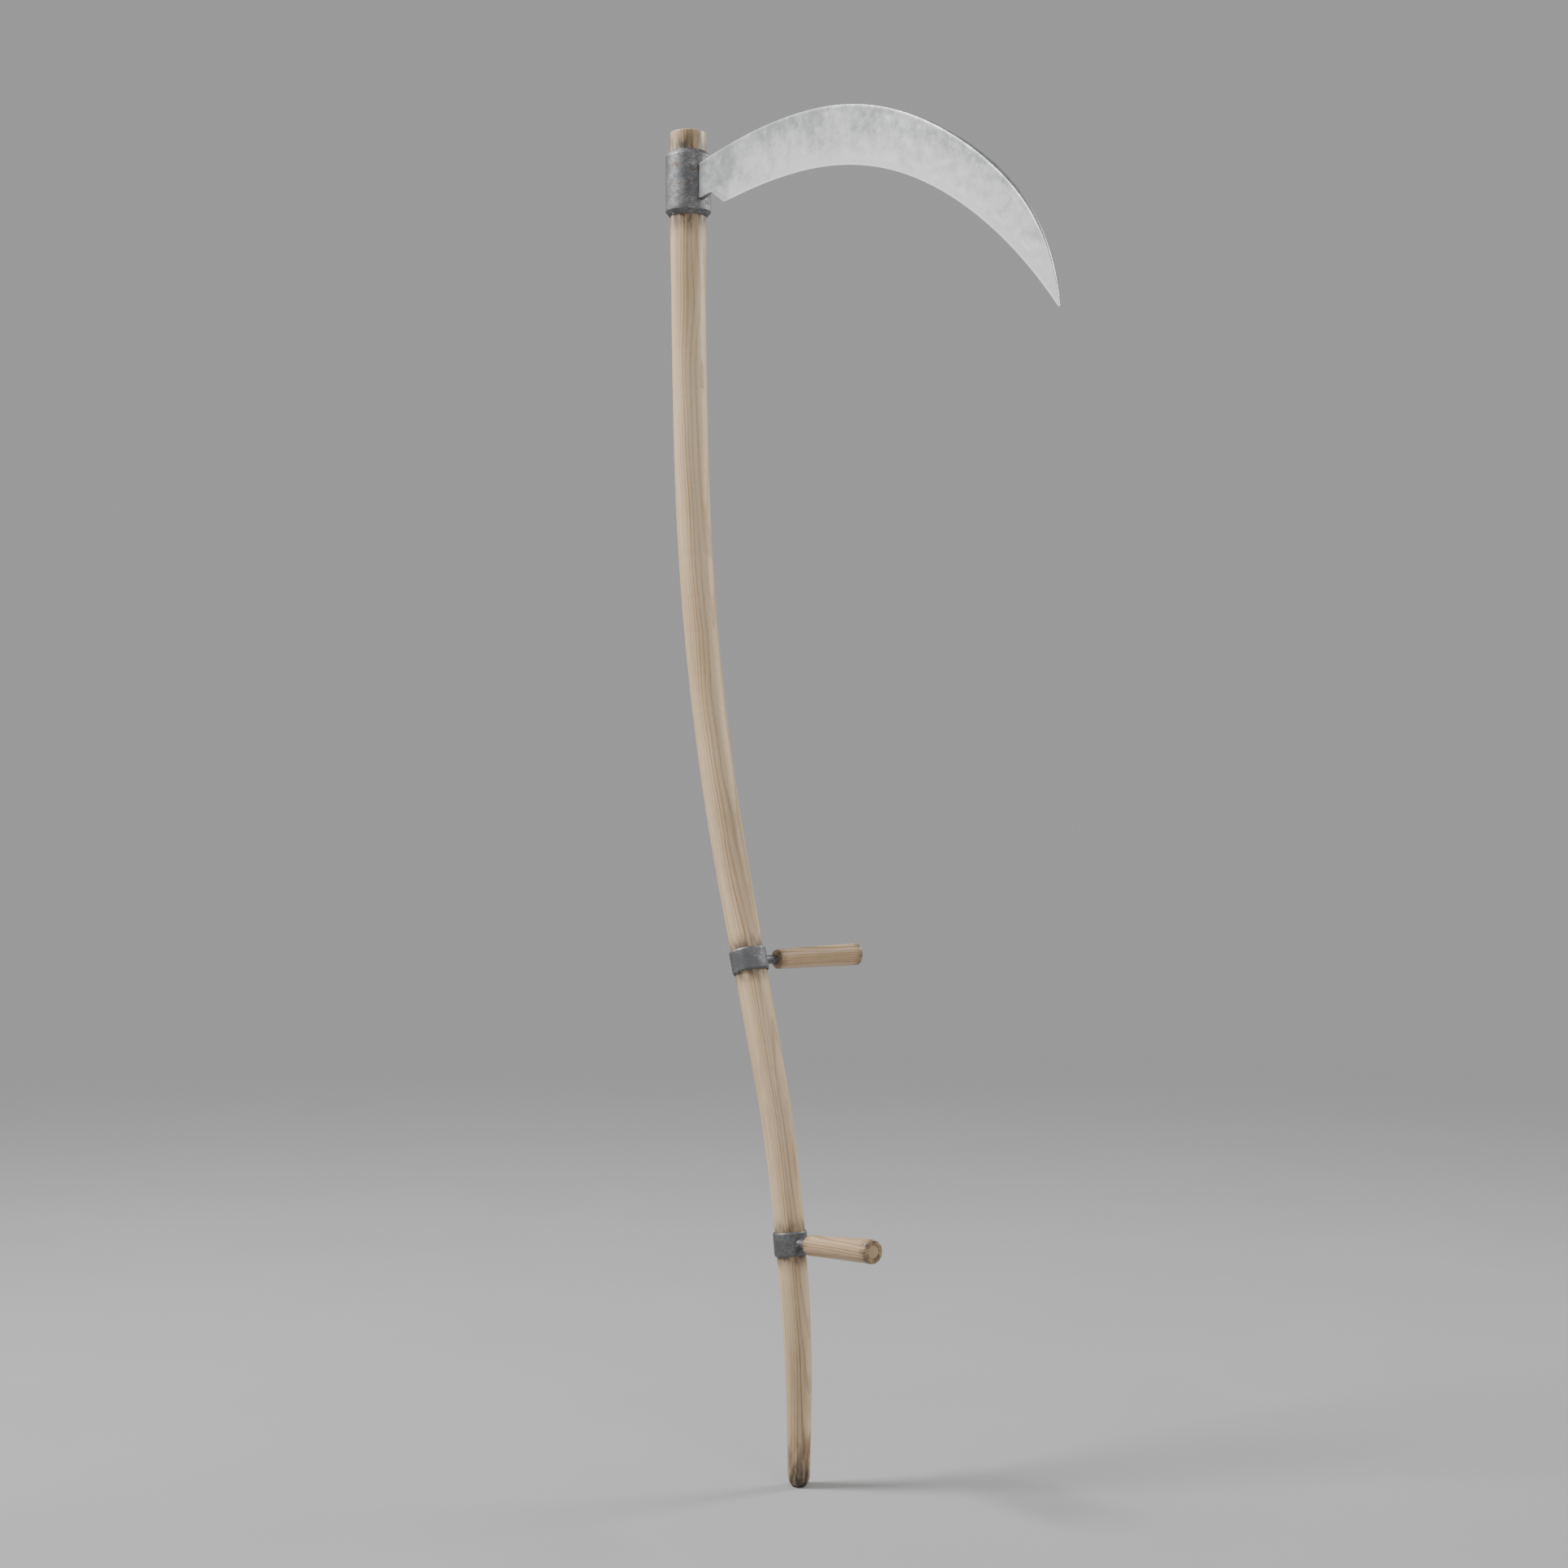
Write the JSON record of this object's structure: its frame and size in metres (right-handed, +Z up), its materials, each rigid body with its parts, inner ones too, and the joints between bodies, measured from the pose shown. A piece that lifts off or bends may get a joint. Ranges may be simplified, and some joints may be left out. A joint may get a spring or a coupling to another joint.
{
  "type": "hand scythe",
  "caption": "Hand scythe: long S-curved wooden pole with a crescent steel blade wedged into an iron head collar, and turned wooden side grips on iron ring bolts.",
  "frame": {"origin": "centre of the small flat on the butt of the pole, where it stands", "axes": "+Z up the pole towards the head, +X the way the blade points, +Y away from the blade's flat front face and the way the upper grip points"},
  "size_m": [0.7223, 0.1877, 1.6065],
  "materials": {
    "pole_wood": "pale steam-bent ash, smooth, oiled and hand-worn",
    "grip_wood": "turned ash, smooth and hand-polished",
    "plug_wood": "turned hardwood plug, end grain",
    "blade_steel": "hammered and ground carbon steel, light patina",
    "forged_iron": "forged iron, dark scale rubbed bright on the edges",
    "wedge_iron": "forged iron wedge, hammered end",
    "nail_iron": "hand-made iron nails, hammered heads",
    "screw_steel": "plain steel, dull",
    "pad_brass": "brass disc, dull",
    "leather": "thin vegetable-tanned leather strip"
  },
  "bodies": {
    "pole": {"snath": "pole_wood", "head_collar": "forged_iron", "collar_nail_top": "nail_iron", "collar_nail_bottom": "nail_iron"},
    "blade": {"blade": "blade_steel"},
    "wedge": {"tang_wedge": "wedge_iron"},
    "upper_liner": {"upper_liner": "leather"},
    "upper_ring": {"upper_ring_bolt": "forged_iron", "upper_washer": "screw_steel", "upper_nut": "screw_steel"},
    "upper_pad": {"upper_screw_pad": "pad_brass"},
    "upper_screw": {"upper_set_screw": "screw_steel"},
    "upper_grip": {"upper_grip": "grip_wood", "upper_plug": "plug_wood"},
    "lower_liner": {"lower_liner": "leather"},
    "lower_ring": {"lower_ring_bolt": "forged_iron", "lower_washer": "screw_steel", "lower_nut": "screw_steel"},
    "lower_pad": {"lower_screw_pad": "pad_brass"},
    "lower_screw": {"lower_set_screw": "screw_steel"},
    "lower_grip": {"lower_grip": "grip_wood", "lower_plug": "plug_wood"}
  },
  "joints": [
    {"name": "blade_draw", "type": "slide", "parent": "pole", "child": "blade", "axis": [0.989, 0, 0.1478], "range_m": [0, 0.05]},
    {"name": "wedge_draw", "type": "slide", "parent": "pole", "child": "wedge", "axis": [-0.989, 0, -0.1478], "range_m": [0, 0.05]},
    {"name": "upper_height", "type": "slide", "parent": "pole", "child": "upper_liner", "axis": [0.3137, 0, -0.9495], "range_m": [0, 0.08]},
    {"name": "upper_swivel", "type": "hinge", "parent": "upper_liner", "child": "upper_ring", "pos_m": [-0.10217, 0, 0.5995], "axis": [-0.3137, 0, 0.9495], "range_deg": [-75, 75]},
    {"name": "upper_spin", "type": "hinge", "parent": "upper_ring", "child": "upper_grip", "pos_m": [-0.10217, 0.098, 0.5995], "axis": [0, 1, 0], "continuous": true},
    {"name": "upper_screw_travel", "type": "slide", "parent": "upper_ring", "child": "upper_pad", "axis": [-0.7778, 0.5736, -0.2569], "range_m": [0, 0.0016]},
    {"name": "upper_screw_turn", "type": "hinge", "parent": "upper_pad", "child": "upper_screw", "pos_m": [-0.12317, 0.01549, 0.59256], "axis": [-0.7778, 0.5736, -0.2569], "range_deg": [0, 720]},
    {"name": "lower_height", "type": "slide", "parent": "pole", "child": "lower_liner", "axis": [0.1426, 0, -0.9898], "range_m": [0, 0.03]},
    {"name": "lower_swivel", "type": "hinge", "parent": "lower_liner", "child": "lower_ring", "pos_m": [-0.01651, 0, 0.278], "axis": [-0.1426, 0, 0.9898], "range_deg": [-75, 75]},
    {"name": "lower_spin", "type": "hinge", "parent": "lower_ring", "child": "lower_grip", "pos_m": [0.08088, 0, 0.28892], "axis": [0.9938, 0, 0.1115], "continuous": true},
    {"name": "lower_screw_travel", "type": "slide", "parent": "lower_ring", "child": "lower_pad", "axis": [-0.8108, 0.5736, -0.1168], "range_m": [0, 0.0016]},
    {"name": "lower_screw_turn", "type": "hinge", "parent": "lower_pad", "child": "lower_screw", "pos_m": [-0.0384, 0.01549, 0.27485], "axis": [-0.8108, 0.5736, -0.1168], "range_deg": [0, 720]}
  ],
  "couplings": [
    {"joint": "upper_screw_turn", "follows": "upper_screw_travel", "rad_per_m": 7854},
    {"joint": "lower_screw_turn", "follows": "lower_screw_travel", "rad_per_m": 7854}
  ]
}
